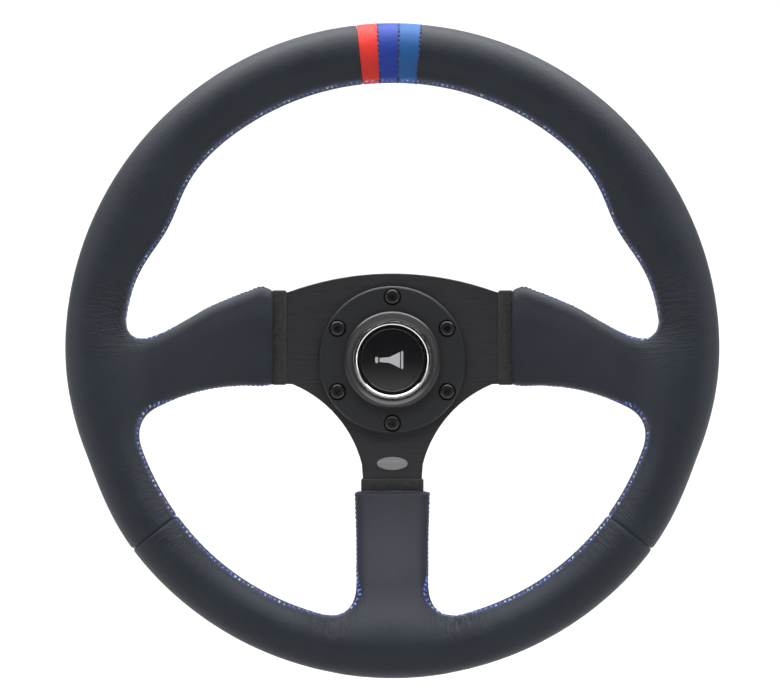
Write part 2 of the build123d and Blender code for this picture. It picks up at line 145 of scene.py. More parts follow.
def sleeve_distance(along, edge, depth_y, start):
    """Rounded slab: edge is the distance outside its outline as the driver sees it."""
    middle = sleeve_depth - through(MIDDLE_DEPTH, along)
    crown = CROWN * ramp(-edge, 1 * MM, 17 * MM)
    face = np.abs(depth_y - middle) - through(HALF_DEPTH, along) - crown
    u, v = edge + SHOULDER, face * 0.92 + SHOULDER
    slab = np.minimum(np.maximum(u, v), 0) + np.hypot(np.maximum(u, 0), np.maximum(v, 0)) - SHOULDER
    return -merge(-slab, along - start, SLEEVE_END_BLEND)


def grip_distance(points):
    """Distance outside the finished grip: negative inside it."""
    across, depth_y, height = np.abs(points[:, 0]), points[:, 1], points[:, 2]
    top = (height - through(SIDE_TOP, across)) * 0.9
    bottom = (through(SIDE_BOTTOM, across) - height) * 0.95
    side = sleeve_distance(across, -merge(-top, -bottom, 24 * MM), depth_y, side_start)
    rounded = np.hypot(across, 6 * MM) - 0.87 * MM
    lower = sleeve_distance(-height, rounded - through(LOWER_WIDTH, -height), depth_y, lower_start)
    end = np.hypot(points[:, 0], points[:, 2] - rim_z) - hoop_r
    side, lower = -merge(-side, -end, 14 * MM), -merge(-lower, -end, 14 * MM)
    fillet = np.clip(13.9 * MM - 0.09 * height, 10 * MM, 18 * MM)
    return merge(merge(rim_distance(points), side, fillet), lower, 19 * MM)


def grip_slope(points):
    step = 0.02 * MM
    slope = np.empty_like(points)
    for axis in range(3):
        shift = np.zeros(3)
        shift[axis] = step
        slope[:, axis] = (grip_distance(points + shift) - grip_distance(points - shift)) / (2 * step)
    return slope


def settle(points, level=0.0, rounds=6):
    """Draws points along the slope onto the grip's outside, or onto a level above or below it."""
    for _ in range(rounds):
        slope = grip_slope(points)
        miss = grip_distance(points) - level
        points = points - (miss / np.maximum((slope**2).sum(1), 0.05))[:, None] * slope
    return points


def mesh_points(mesh):
    flat = np.empty(len(mesh.vertices) * 3, np.float32)
    mesh.vertices.foreach_get("co", flat)
    return flat.reshape(-1, 3).astype(float)


def set_points(mesh, points):
    mesh.vertices.foreach_set("co", points.astype(np.float32).ravel())
    mesh.update()


def finished(name, mesh_or_bm, smooth=True):
    """Puts a mesh into the scene as an object at the origin."""
    mesh = mesh_or_bm
    if isinstance(mesh_or_bm, bmesh.types.BMesh):
        mesh = bpy.data.meshes.new(name)
        mesh_or_bm.to_mesh(mesh)
        mesh_or_bm.free()
    mesh.name = name
    for face in mesh.polygons:
        face.use_smooth = smooth
    piece = bpy.data.objects.new(name, mesh)
    bpy.context.scene.collection.objects.link(piece)
    return piece


def as_made(piece):
    """The mesh of a piece with its modifiers applied."""
    bpy.context.view_layer.update()
    return bpy.data.meshes.new_from_object(piece.evaluated_get(bpy.context.evaluated_depsgraph_get()))


def voxel_skin(mesh, size):
    """One even skin of small squares round everything in the mesh."""
    blank = finished("blank", mesh)
    remesh = blank.modifiers.new("Remesh", "REMESH")
    remesh.mode = "VOXEL"
    remesh.voxel_size = size
    skin = as_made(blank)
    bpy.data.objects.remove(blank)
    return skin


def add_bar_blank(blank, start, end, low_of, high_of, place):
    """Adds a bar a little inside a sleeve: a cube bent to the sleeve's outline and depth."""
    inset = 1.6 * MM
    bm = bmesh.new()
    bmesh.ops.create_cube(bm, size=1)
    bmesh.ops.subdivide_edges(bm, edges=bm.edges, cuts=14, use_grid_fill=True)
    for v in bm.verts:
        along = start + inset + (v.co.x + 0.5) * (end - start - inset)
        low, high = low_of(along) + inset, high_of(along) - inset
        across = low + (v.co.z + 0.5) * (high - low)
        depth = sleeve_depth - through(MIDDLE_DEPTH, along) + v.co.y * 1.7 * through(HALF_DEPTH, along)
        v.co = place(along, depth, across)
    bar = bpy.data.meshes.new("bar")
    bm.to_mesh(bar)
    bm.free()
    blank.from_mesh(bar)


def grip_blank():
    """Plain tube and three bars, close to the grip's shape and inside it."""
    bm = bmesh.new()
    section = Matrix.Translation((hoop_r, rim_y, rim_z))
    bmesh.ops.create_circle(bm, segments=20, radius=13.5 * MM, matrix=section)
    bmesh.ops.spin(
        bm,
        geom=bm.verts[:] + bm.edges[:],
        cent=(0, rim_y, rim_z),
        axis=(0, 1, 0),
        angle=math.tau,
        steps=96,
        use_merge=True,
    )
    end = hoop_r - 8 * MM
    side = (lambda x: through(SIDE_BOTTOM, x), lambda x: through(SIDE_TOP, x))
    lower = (lambda x: -through(LOWER_WIDTH, x), lambda x: through(LOWER_WIDTH, x))
    add_bar_blank(bm, side_start, end, *side, lambda along, depth, across: (along, depth, across))
    add_bar_blank(bm, side_start, end, *side, lambda along, depth, across: (-along, depth, across))
    add_bar_blank(bm, lower_start, end, *lower, lambda along, depth, across: (across, depth, -along))
    bmesh.ops.recalc_face_normals(bm, faces=bm.faces)
    mesh = bpy.data.meshes.new("blank")
    bm.to_mesh(mesh)
    bm.free()
    return mesh


rough = voxel_skin(grip_blank(), 3 * MM)
for _ in range(2):
    set_points(rough, settle(mesh_points(rough)))
    rough = voxel_skin(rough, 2.6 * MM)
set_points(rough, settle(mesh_points(rough), rounds=8))

foam_mesh = rough.copy()
set_points(foam_mesh, settle(mesh_points(foam_mesh), level=-FOAM_DEPTH))
foam = finished("grip_foam_body", foam_mesh)
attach(foam, "wheel")
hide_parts("grip_foam")


def new_material(name, colour, roughness, metallic=0.0):
    """A material with its shader; returns the material, its node tree and the shader."""
    material = bpy.data.materials.new(name)
    material.use_nodes = True
    tree = material.node_tree
    shader = tree.nodes["Principled BSDF"]
    shader.inputs["Base Color"].default_value = (*colour, 1)
    shader.inputs["Roughness"].default_value = roughness
    shader.inputs["Metallic"].default_value = metallic
    return material, tree, shader


def finish_with(material, *pieces):
    for piece in pieces:
        piece.data.materials.clear()
        piece.data.materials.append(material)


def node(tree, kind, **values):
    """A shader node with its settings, and its inputs' values by name."""
    made = tree.nodes.new(kind)
    for key, value in values.items():
        if hasattr(made, key):
            setattr(made, key, value)
        else:
            made.inputs[key.replace("_", " ")].default_value = value
    return made


def maths(tree, operation, first, second=0.0, third=None):
    """A Math node; each operand is a number or another node's output."""
    made = tree.nodes.new("ShaderNodeMath")
    made.operation = operation
    for i, operand in enumerate((first, second, third)):
        if operand is None:
            continue
        if isinstance(operand, (int, float)):
            made.inputs[i].default_value = operand
        else:
            tree.links.new(operand, made.inputs[i])
    return made.outputs[0]


def bumped(tree, shader, height, distance, strength=1.0):
    bump = node(tree, "ShaderNodeBump", Strength=strength, Distance=distance)
    tree.links.new(height, bump.inputs["Height"])
    tree.links.new(bump.outputs["Normal"], shader.inputs["Normal"])


foam_look, tree, shader = new_material("moulded_foam", (0.02, 0.02, 0.02), 0.85)
cells = node(tree, "ShaderNodeTexNoise", Scale=900.0, Detail=3.0)
tree.links.new(node(tree, "ShaderNodeTexCoord").outputs["Object"], cells.inputs["Vector"])
bumped(tree, shader, cells.outputs["Fac"], 0.2 * MM)
finish_with(foam_look, foam)


# ---- Seam line ---------------------------------------------------------------------------------
# The leathers are closed by one hand-sewn seam in each gap of the wheel. It runs round the inside of
# the rim, turns into the spokes and ends at the sleeves' hub ends. Found here as points on the grip,
# an even distance apart, because the leather dips along it and the stitches are set on it.
STITCH_PITCH = 2.7 * MM
SEAM_FORWARD = 3.6 * MM


def middle_of_grip(points):
    """Depth of the grip's middle below each point as the driver sees it."""
    reach = np.hypot(points[:, 0], points[:, 2] - rim_z)
    run = np.where(points[:, 2] > -45 * MM, np.abs(points[:, 0]), -points[:, 2])
    spoke = sleeve_depth - through(MIDDLE_DEPTH, run)
    share = ramp(reach, 116 * MM, 140 * MM)
    return spoke * (1 - share) + rim_y * share


def seam_in_gap(centre, first, last):
    """Seam points seen from a gap's centre, between two clock angles in degrees, a pitch apart."""
    angles = np.radians(np.linspace(first, last, 900))
    reach = np.linspace(20 * MM, 230 * MM, 900)
    points = np.zeros((len(angles), len(reach), 3))
    points[:, :, 0] = centre[0] + np.sin(angles)[:, None] * reach
    points[:, :, 2] = centre[1] + np.cos(angles)[:, None] * reach
    flat = points.reshape(-1, 3)
    clock, from_axis = rim_polar(flat)
    beside_spokes = ramp(clock, 70, 84) - ramp(clock, 98, 110) + ramp(clock, 156, 168)
    forward = SEAM_FORWARD * ramp(from_axis, 124 * MM, 134 * MM) * (1 - beside_spokes)
    flat[:, 1] = middle_of_grip(flat) - forward
    inside = grip_distance(flat).reshape(len(angles), len(reach)) < 0
    hit = inside.argmax(1)
    edge = points[np.arange(len(angles)), hit][inside.any(1)]
    edge = settle(edge, rounds=4)
    steps = np.linalg.norm(np.diff(edge, axis=0), axis=1)
    travelled = np.concatenate([[0], np.cumsum(steps)])
    count = int(travelled[-1] / STITCH_PITCH)
    wanted = np.linspace(1.5 * MM, travelled[-1] - 1.5 * MM, count)
    return np.stack([np.interp(wanted, travelled, edge[:, i]) for i in range(3)], 1)


upper_seam = seam_in_gap((0, 96 * MM), -128, 128)
right_seam = seam_in_gap((72 * MM, -68 * MM), -4, 264)
left_seam = right_seam * (-1, 1, 1)
seams = [settle(line, rounds=3) for line in (upper_seam, right_seam, left_seam)]


# ---- Leathers ----------------------------------------------------------------------------------
# Charcoal leather in three pieces, left, right and lower, and three narrow dyed strips at 12 o'clock.
# Each is wrapped over the foam and butts against the next, where both edges turn down into the joint.
# The hide is thin: it dips along the sewn seam and wrinkles where it is pulled round the spoke roots.
SEAM_CLOCK = 127.4
CUTS = {
    "leather_right": (5.1, SEAM_CLOCK),
    "leather_lower": (SEAM_CLOCK, 360 - SEAM_CLOCK),
    "leather_left": (360 - SEAM_CLOCK, 353.7),
    "leather_stripe_red": (353.7, 357.35),
    "leather_stripe_dark_blue": (357.35, 361.2),
    "leather_stripe_light_blue": (361.2, 365.1),
}
LEATHER_THICKNESS = 1.3 * MM
JOINT_GAP = 0.07 * MM
SEAM_JOINT, STRIPE_JOINT = (0.75, 0.6), (0.3, 0.45)
STRIPE_RISE = 0.12 * MM
SEAM_DIP, SEAM_DIP_WIDTH = 0.5 * MM, 1.3 * MM
WRINKLE_HEIGHT = 0.10 * MM


def joint_plane(angle):
    """Point and direction (clockwise) of the plane through the rim's axis at a clock angle."""
    a = math.radians(angle)
    return Vector((0, rim_y, rim_z)), Vector((math.cos(a), 0, -math.sin(a)))


def from_joint(points, angle):
    """Distance of each point clockwise of a joint, far away for points on the other side of the rim."""
    centre, clockwise = joint_plane(angle)
    away = points - np.array(centre)
    a = math.radians(angle)
    outwards = away[:, 0] * math.sin(a) + away[:, 2] * math.cos(a)
    return np.where(outwards > 0.1, away @ np.array(clockwise), 1.0)


def with_joint_loops(mesh):
    """Adds edge loops beside every joint so that the turned-down edges have somewhere to bend."""
    bm = bmesh.new()
    bm.from_mesh(mesh)
    for start, _ in CUTS.values():
        centre, clockwise = joint_plane(start)
        outwards = Vector((math.sin(math.radians(start)), 0, math.cos(math.radians(start))))
        for offset in (-2.4, -1.5, -0.9, -0.45, 0, 0.45, 0.9, 1.5, 2.4):
            near = [
                f
                for f in bm.faces
                if abs((f.calc_center_median() - centre).dot(clockwise)) < 5 * MM
                and (f.calc_center_median() - centre).dot(outwards) > 0.1
            ]
            geom = list({v for f in near for v in f.verts}) + list({e for f in near for e in f.edges}) + near
            bmesh.ops.bisect_plane(
                bm, geom=geom, dist=0.02 * MM, plane_co=centre + clockwise * offset * MM, plane_no=clockwise
            )
    bm.to_mesh(mesh)
    bm.free()


SKIN_VOXEL = 1.13 * MM
skin = voxel_skin(rough, SKIN_VOXEL)
set_points(skin, settle(mesh_points(skin)))
bm = bmesh.new()
bm.from_mesh(skin)
for _ in range(2):
    bmesh.ops.smooth_vert(bm, verts=bm.verts, factor=0.5, use_axis_x=True, use_axis_y=True, use_axis_z=True)
bm.to_mesh(skin)
bm.free()
with_joint_loops(skin)
points = settle(mesh_points(skin), rounds=5)

angle, reach = rim_polar(points)
normals = grip_slope(points)
normals /= np.linalg.norm(normals, axis=1)[:, None]
lift = np.zeros(len(points))
for name, (start, end) in CUTS.items():
    depth, spread = SEAM_JOINT if 90 < start < 270 else STRIPE_JOINT
    lift -= depth * MM * swell(from_joint(points, start), 0, spread * MM)
signed_angle = np.degrees(np.arctan2(points[:, 0], points[:, 2] - rim_z))
lift += STRIPE_RISE * (np.abs(signed_angle + 0.6) < 5.7)

seam_points = np.concatenate(seams)
tree_of_seam = kdtree.KDTree(len(seam_points))
for i, point in enumerate(seam_points):
    tree_of_seam.insert(point, i)
tree_of_seam.balance()
near_seam = np.ones(len(points))
for i in np.nonzero(reach < 158 * MM)[0]:
    near_seam[i] = tree_of_seam.find(points[i])[2]
lift -= SEAM_DIP * swell(near_seam, 0, SEAM_DIP_WIDTH)

tube_side = np.arctan2(points[:, 1] - rim_y, hoop_r - reach)
inner_side = np.clip(0.45 + 0.6 * np.cos(tube_side), 0, 1)
wrinkled = (
    1.0 * swell(angle, 82, 6)
    + 0.35 * swell(angle, 54, 8)
    + 0.8 * swell(angle, 133.5, 5.5)
    + 0.35 * swell(angle, 118, 6)
    + 1.0 * swell(angle, 166, 4.5)
) * inner_side * ramp(reach, 126 * MM, 138 * MM)
wave = angle * math.radians(1) * reach / MM
ripple = np.sin(wave * 1.55 + 1.3 * np.sin(tube_side * 3.1 + points[:, 0] * 40) + np.sin(wave * 0.37))
lift += WRINKLE_HEIGHT * wrinkled * ripple
set_points(skin, points + normals * lift[:, None])
attribute = skin.attributes.new("wrinkled", "FLOAT", "POINT")
attribute.data.foreach_set("value", np.clip(wrinkled, 0, 1).astype(np.float32))


def leather_piece(name, start, end, node_name):
    """One leather cut from the grip's skin between two clock angles, with its own thickness."""
    bm = bmesh.new()
    bm.from_mesh(skin)
    for angle, keep_side in ((start, 1), (end, -1)):
        centre, clockwise = joint_plane(angle)
        bmesh.ops.bisect_plane(
            bm,
            geom=bm.verts[:] + bm.edges[:] + bm.faces[:],
            dist=0.02 * MM,
            plane_co=centre + clockwise * (JOINT_GAP * keep_side),
            plane_no=clockwise * -keep_side,
            clear_outer=True,
        )
    bmesh.ops.recalc_face_normals(bm, faces=bm.faces)
    piece = finished(name, bm)
    hide = piece.modifiers.new("Hide", "SOLIDIFY")
    hide.thickness = LEATHER_THICKNESS
    hide.offset = -1
    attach(piece, "wheel")
    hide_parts(node_name)
    return piece


NODES = {
    "leather_right": "right_grip_leather",
    "leather_lower": "lower_grip_leather",
    "leather_left": "left_grip_leather",
    "leather_stripe_red": "stripe_red",
    "leather_stripe_dark_blue": "stripe_dark_blue",
    "leather_stripe_light_blue": "stripe_light_blue",
}
leathers = {name: leather_piece(name, *cut, NODES[name]) for name, cut in CUTS.items()}


def leather_grain_group():
    """Fine pebbled grain with pores, and the creases that run round the tube where it is wrinkled; the
    second output is a random tone with painted shade darkening the creases.
    """
    group = bpy.data.node_groups.new("leather_grain", "ShaderNodeTree")
    socket = group.interface.new_socket
    socket("Grain Scale", in_out="INPUT", socket_type="NodeSocketFloat").default_value = 1500
    socket("Crease", in_out="INPUT", socket_type="NodeSocketFloat").default_value = 1
    socket("Height", in_out="OUTPUT", socket_type="NodeSocketFloat")
    socket("Mottle And Crease Shade", in_out="OUTPUT", socket_type="NodeSocketFloat")
    given = group.nodes.new("NodeGroupInput").outputs
    put = group.nodes.new("NodeGroupOutput").inputs
    link = group.links.new
    place = node(group, "ShaderNodeTexCoord").outputs["Object"]

    warp = node(group, "ShaderNodeTexNoise", Scale=260.0, Detail=2.0)
    link(place, warp.inputs["Vector"])
    drift = node(group, "ShaderNodeVectorMath", operation="MULTIPLY_ADD")
    link(warp.outputs["Color"], drift.inputs[0])
    drift.inputs[1].default_value = (0.0009, 0.0009, 0.0009)
    link(place, drift.inputs[2])
    pebbles = node(group, "ShaderNodeTexVoronoi", feature="DISTANCE_TO_EDGE")
    link(drift.outputs[0], pebbles.inputs["Vector"])
    link(given["Grain Scale"], pebbles.inputs["Scale"])
    pebble = maths(group, "MINIMUM", maths(group, "MULTIPLY", pebbles.outputs["Distance"], 3.2), 1.0)

    split = node(group, "ShaderNodeSeparateXYZ")
    link(place, split.inputs[0])
    up = maths(group, "SUBTRACT", split.outputs["Z"], rim_z)
    squares = [maths(group, "POWER", value, 2.0) for value in (split.outputs["X"], up)]
    out = maths(group, "SQRT", maths(group, "ADD", *squares))
    clock_angle = maths(group, "ARCTAN2", maths(group, "ABSOLUTE", split.outputs["X"]), up)
    forward = maths(group, "SUBTRACT", split.outputs["Y"], rim_y)
    turn = maths(group, "ARCTAN2", forward, maths(group, "SUBTRACT", hoop_r, out))
    run = node(group, "ShaderNodeCombineXYZ")
    link(maths(group, "MULTIPLY", clock_angle, 62.0), run.inputs[0])
    link(maths(group, "MULTIPLY", turn, 1.1), run.inputs[1])
    link(maths(group, "MULTIPLY", split.outputs["X"], 30.0), run.inputs[2])
    creases = node(group, "ShaderNodeTexNoise", Scale=1.0, Detail=4.0, Roughness=0.55, Distortion=0.6)
    link(run.outputs[0], creases.inputs["Vector"])
    ridge = maths(group, "ABSOLUTE", maths(group, "SUBTRACT", creases.outputs["Fac"], 0.5))
    ridge = maths(group, "MINIMUM", maths(group, "MULTIPLY", ridge, 9.0), 1.0)
    mask = node(group, "ShaderNodeAttribute", attribute_name="wrinkled").outputs["Fac"]
    mask = maths(group, "MULTIPLY", mask, given["Crease"])
    crease = maths(group, "MULTIPLY", maths(group, "SUBTRACT", ridge, 1.0), mask)
    slack = node(group, "ShaderNodeTexNoise", Scale=330.0, Detail=3.0, Roughness=0.55, Distortion=0.8)
    link(place, slack.inputs["Vector"])
    relief = maths(group, "MULTIPLY_ADD", slack.outputs["Fac"], 4.0, pebble)
    link(maths(group, "MULTIPLY_ADD", crease, 8.0, relief), put["Height"])

    clouds = node(group, "ShaderNodeTexNoise", Scale=38.0, Detail=5.0, Roughness=0.6)
    link(place, clouds.inputs["Vector"])
    # Second output: a random cloudy tone, with painted shade that darkens it along the creases.
    link(maths(group, "MULTIPLY_ADD", crease, 0.5, clouds.outputs["Fac"]), put["Mottle And Crease Shade"])
    return group


grain_group = leather_grain_group()


def leather_look(name, dark, light, roughness=0.50, sheen=0.0):
    """Dyed smooth leather with a satin top coat; its colour varies a little from dark to light at random,
    and painted shade darkens it along the creases.
    """
    material, tree, shader = new_material(name, light, roughness)
    grain = tree.nodes.new("ShaderNodeGroup")
    grain.node_tree = grain_group
    # Colour ramp over that tone: the random variation plus painted crease shade, which comes out darker.
    tint = node(tree, "ShaderNodeValToRGB")
    tint.color_ramp.elements[0].position = 0.25
    tint.color_ramp.elements[0].color = (*dark, 1)
    tint.color_ramp.elements[1].position = 0.75
    tint.color_ramp.elements[1].color = (*light, 1)
    tree.links.new(grain.outputs["Mottle And Crease Shade"], tint.inputs["Fac"])
    tree.links.new(tint.outputs["Color"], shader.inputs["Base Color"])
    rough = maths(tree, "MULTIPLY_ADD", grain.outputs["Mottle And Crease Shade"], 0.16, roughness - 0.08)
    tree.links.new(rough, shader.inputs["Roughness"])
    shader.inputs["Specular IOR Level"].default_value = 0.21
    shader.inputs["Sheen Weight"].default_value = sheen
    shader.inputs["Sheen Roughness"].default_value = 0.5
    bumped(tree, shader, grain.outputs["Height"], 0.06 * MM, 0.75)
    return material


charcoal = leather_look("charcoal_leather", (0.0135, 0.0172, 0.0240), (0.0185, 0.0235, 0.0325), sheen=0.03)
finish_with(charcoal, leathers["leather_left"], leathers["leather_right"], leathers["leather_lower"])
DYES = {
    "leather_stripe_red": ("leather_red", (0.50, 0.022, 0.015), (0.62, 0.034, 0.024)),
    "leather_stripe_dark_blue": ("leather_dark_blue", (0.012, 0.033, 0.23), (0.017, 0.046, 0.30)),
    "leather_stripe_light_blue": ("leather_light_blue", (0.012, 0.073, 0.23), (0.018, 0.098, 0.30)),
}
for name, piece in leathers.items():
    if name in DYES:
        slot, dark, light = DYES[name]
        finish_with(leather_look(slot + "_look", dark, light), piece)


# ---- Sewing ------------------------------------------------------------------------------------
# Blue twisted thread. Along the seam two slanting stitches cross at each pitch and pull the leather's
# edges together; round the tube, on the joints of the dyed strips, a row of short straight stitches.
def stitch_template(length, thickness):
    bm = bmesh.new()
    bmesh.ops.create_uvsphere(bm, u_segments=6, v_segments=5, radius=0.5)
    bmesh.ops.scale(bm, vec=(thickness, thickness, length), verts=bm.verts)
    for v in bm.verts:
        v.co.x -= 0.55 * thickness * (2 * v.co.z / length) ** 2
    mesh = bpy.data.meshes.new("stitch")
    bm.to_mesh(mesh)
    bm.free()
    return mesh


def place_stitches(bm, template, centres, directions, outwards, sink):
    """Sets one stitch at each centre: its length along a direction and its back to the leather."""
    for centre, along, out in zip(centres, directions, outwards):
        out = Vector(out).normalized()
        along = Vector(along)
        along = (along - out * along.dot(out)).normalized()
        side = along.cross(out)
        frame_of = Matrix((out, side, along)).transposed().to_4x4()
        before = len(bm.verts)
        bm.from_mesh(template)
        bm.verts.ensure_lookup_table()
        new = bm.verts[before:]
        place = Matrix.Translation(Vector(centre) - out * sink) @ frame_of
        bmesh.ops.transform(bm, matrix=place, verts=new)


def unit(vectors):
    return vectors / np.linalg.norm(vectors, axis=1)[:, None]


SEAM_SINK = 0.24 * MM
JOINT_PITCH, JOINT_SLANT, JOINT_SINK = 2.7 * MM, 0.25, 0.05 * MM
thread_bm = bmesh.new()
stitch = stitch_template(3.8 * MM, 0.85 * MM)
for line in seams:
    tangent = unit(np.gradient(line, axis=0))
    out = unit(grip_slope(line))
    across = np.cross(out, tangent)
    for slant in (0.42, -0.42):
        middles = line + slant * 0.4 * MM * tangent
        place_stitches(thread_bm, stitch, middles, across + slant * tangent, out, SEAM_SINK)
bmesh.ops.recalc_face_normals(thread_bm, faces=thread_bm.faces)
thread = finished("seam_thread", thread_bm)
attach(thread, "wheel")
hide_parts("seam_stitching")


def ring_round_tube(angle, pitch):
    """Points round the tube at a clock angle, a pitch apart, on the grip's outside."""
    a = math.radians(angle)
    radial = np.array((math.sin(a), 0, math.cos(a)))
    count = int(2 * math.pi * 15.3 * MM / pitch)
    turns = np.linspace(0, 2 * math.pi, count, endpoint=False)
    centre = np.array((0, rim_y, rim_z)) + radial * hoop_r
    round_tube = np.cos(turns)[:, None] * radial + np.sin(turns)[:, None] * np.array((0, 1, 0))
    return settle(centre + 15.2 * MM * round_tube, rounds=3)


def joint_thread(name, angle):
    ring = ring_round_tube(angle, JOINT_PITCH)
    tangent = unit(np.roll(ring, -1, axis=0) - np.roll(ring, 1, axis=0))
    out = unit(grip_slope(ring))
    slanted = tangent + JOINT_SLANT * np.cross(out, tangent)
    bm = bmesh.new()
    place_stitches(bm, stitch_template(2.1 * MM, 1.1 * MM), ring, slanted, out, JOINT_SINK)
    bmesh.ops.recalc_face_normals(bm, faces=bm.faces)
    piece = finished(name, bm)
    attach(piece, "wheel")
    return piece


def thread_look(name, dark, light, fleck):
    """Twisted thread: fine slanting strands and a dye that wanders between shades, with pale flecks."""
    material, tree, shader = new_material(name, light, 0.6)
    place = node(tree, "ShaderNodeTexCoord").outputs["Object"]
    tint = node(tree, "ShaderNodeTexNoise", Scale=420.0, Detail=1.0)
    tree.links.new(place, tint.inputs["Vector"])
    shades = node(tree, "ShaderNodeValToRGB")
    shades.color_ramp.elements[0].position = 0.40
    shades.color_ramp.elements[0].color = (*dark, 1)
    shades.color_ramp.elements[1].position = 0.52
    shades.color_ramp.elements[1].color = (*light, 1)
    shades.color_ramp.elements.new(0.66).color = (*fleck, 1)
    tree.links.new(tint.outputs["Fac"], shades.inputs["Fac"])
    tree.links.new(shades.outputs["Color"], shader.inputs["Base Color"])
    strands = node(tree, "ShaderNodeTexWave", Scale=900.0, Distortion=2.0, bands_direction="DIAGONAL")
    tree.links.new(place, strands.inputs["Vector"])
    bumped(tree, shader, strands.outputs["Fac"], 0.05 * MM, 0.8)
    shader.inputs["Sheen Weight"].default_value = 0.3
    return material


blue_thread = thread_look("blue_thread", (0.010, 0.014, 0.16), (0.035, 0.075, 0.62), (0.36, 0.52, 0.86))
finish_with(blue_thread, thread)
navy_thread = thread_look("navy_thread", (0.002, 0.003, 0.012), (0.010, 0.013, 0.06), (0.05, 0.07, 0.25))
finish_with(
    navy_thread,
    joint_thread("thread_red_to_blue", 357.35),
    joint_thread("thread_blue_to_blue", 361.2),
    joint_thread("thread_blue_to_charcoal", 365.1),
)


# ---- Edging bands ------------------------------------------------------------------------------
# Black woven tape folded round each bare arm where its leather sleeve starts. It hides the raw end of
# the foam, grips the plate's edges and laps a little over the leather's turned end.
BAND_RISE, BAND_LAP = 0.7 * MM, 0.9 * MM


def edging_band(name, node_name, along):
    low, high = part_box(node_name)
    low.y -= BAND_RISE
    high.y += BAND_RISE
    if along == "Z":
        low.z -= BAND_LAP
    elif low.x > 0:
        high.x += BAND_LAP
    else:
        low.x -= BAND_LAP
    block = Matrix.Translation((low + high) / 2) @ Matrix.Diagonal((*(high - low), 1))
    bm = bmesh.new()
    bmesh.ops.create_cube(bm, size=1, matrix=block)
    long_axis = 2 if along == "X" else 0
    for position in np.linspace(low[long_axis], high[long_axis], 26)[1:-1]:
        normal = Vector((0, 0, 0))
        normal[long_axis] = 1
        centre = (low + high) / 2
        centre[long_axis] = position
        everything = bm.verts[:] + bm.edges[:] + bm.faces[:]
        bmesh.ops.bisect_plane(bm, geom=everything, plane_co=centre, plane_no=normal)
    sharp = [e for e in bm.edges if len(e.link_faces) == 2 and e.calc_face_angle() > 1]
    bmesh.ops.bevel(bm, geom=sharp, offset=1.0 * MM, segments=3, profile=0.5, affect="EDGES", material=-1)
    for v in bm.verts:
        t = v.co[long_axis] * 1000
        v.co.y += 0.16 * MM * math.sin(t * 0.55) * math.sin(t * 0.21 + 1)
    bmesh.ops.recalc_face_normals(bm, faces=bm.faces)
    piece = finished(name, bm)
    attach(piece, "wheel")
    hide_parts(node_name)
    return piece


THREADS_PER_METRE = 9000.0


def woven_tape_look():
    material, tree, shader = new_material("woven_tape", (0.012, 0.012, 0.014), 0.78)
    place = node(tree, "ShaderNodeTexCoord").outputs["Object"]
    split = node(tree, "ShaderNodeSeparateXYZ")
    tree.links.new(place, split.inputs[0])
    threads = []
    for slant in ("ADD", "SUBTRACT"):
        diagonal = maths(tree, slant, split.outputs["X"], split.outputs["Z"])
        threads.append(maths(tree, "SINE", maths(tree, "MULTIPLY", diagonal, THREADS_PER_METRE)))
    weave = maths(tree, "MULTIPLY", *threads)
    lint = node(tree, "ShaderNodeTexNoise", Scale=1500.0, Detail=4.0)
    tree.links.new(place, lint.inputs["Vector"])
    shades = node(tree, "ShaderNodeValToRGB")
    shades.color_ramp.elements[0].position = 0.45
    shades.color_ramp.elements[0].color = (0.009, 0.009, 0.010, 1)
    shades.color_ramp.elements[1].position = 0.80
    shades.color_ramp.elements[1].color = (0.055, 0.056, 0.060, 1)
    tree.links.new(lint.outputs["Fac"], shades.inputs["Fac"])
    tree.links.new(shades.outputs["Color"], shader.inputs["Base Color"])
    bumped(tree, shader, maths(tree, "MULTIPLY_ADD", lint.outputs["Fac"], 1.5, weave), 0.08 * MM)
    shader.inputs["Sheen Weight"].default_value = 0.15
    return material


finish_with(
    woven_tape_look(),
    edging_band("edging_left", "left_spoke_edging", "X"),
    edging_band("edging_right", "right_spoke_edging", "X"),
    edging_band("edging_lower", "lower_spoke_edging", "Z"),
)


# ---- Springs -----------------------------------------------------------------------------------
# Two round-wire compression springs with closed end coils. The wide one returns the release collar
# and shortens as the collar is pulled; the small one lifts the horn cap and shortens as it is pushed.
def spring(name, node_name, coil_r, wire_r, turns):
    """Helix about the hub axis as deep as its node."""
    front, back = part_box(node_name)[0].y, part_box(node_name)[1].y
    closed = 0.8
    pitch = (back - front - 2 * wire_r - 2 * closed * 2.1 * wire_r) / turns
    bm = bmesh.new()
    upright = Matrix.Translation((coil_r, back - wire_r, 0))
    wire = bmesh.ops.create_circle(bm, segments=10, radius=wire_r, matrix=upright)["verts"]
    start = list({e for v in wire for e in v.link_edges})
    geom = wire + start
    for count, rise in ((closed, 2.1 * wire_r), (turns, pitch), (closed, 2.1 * wire_r)):
        steps = round(36 * count)
        made = bmesh.ops.spin(
            bm,
            geom=geom,
            cent=(0, 0, 0),
            axis=(0, 1, 0),
            dvec=(0, -rise * count / steps, 0),
            angle=math.tau * count,
            steps=steps,
            use_merge=False,
        )
        geom = made["geom_last"]
    bmesh.ops.contextual_create(bm, geom=start)
    bmesh.ops.contextual_create(bm, geom=[g for g in geom if isinstance(g, bmesh.types.BMEdge)])
    bmesh.ops.recalc_face_normals(bm, faces=bm.faces)
    piece = finished(name, bm)
    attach(piece, "wheel")
    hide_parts(node_name)
    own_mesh(piece)
    return piece


collar_return = spring(
    "collar_return_spring", "collar_spring", 33 * MM, 0.8 * MM, 4
)
horn_return = spring(
    "horn_return_spring", "horn_spring", 11.5 * MM, 0.5 * MM, 2
)


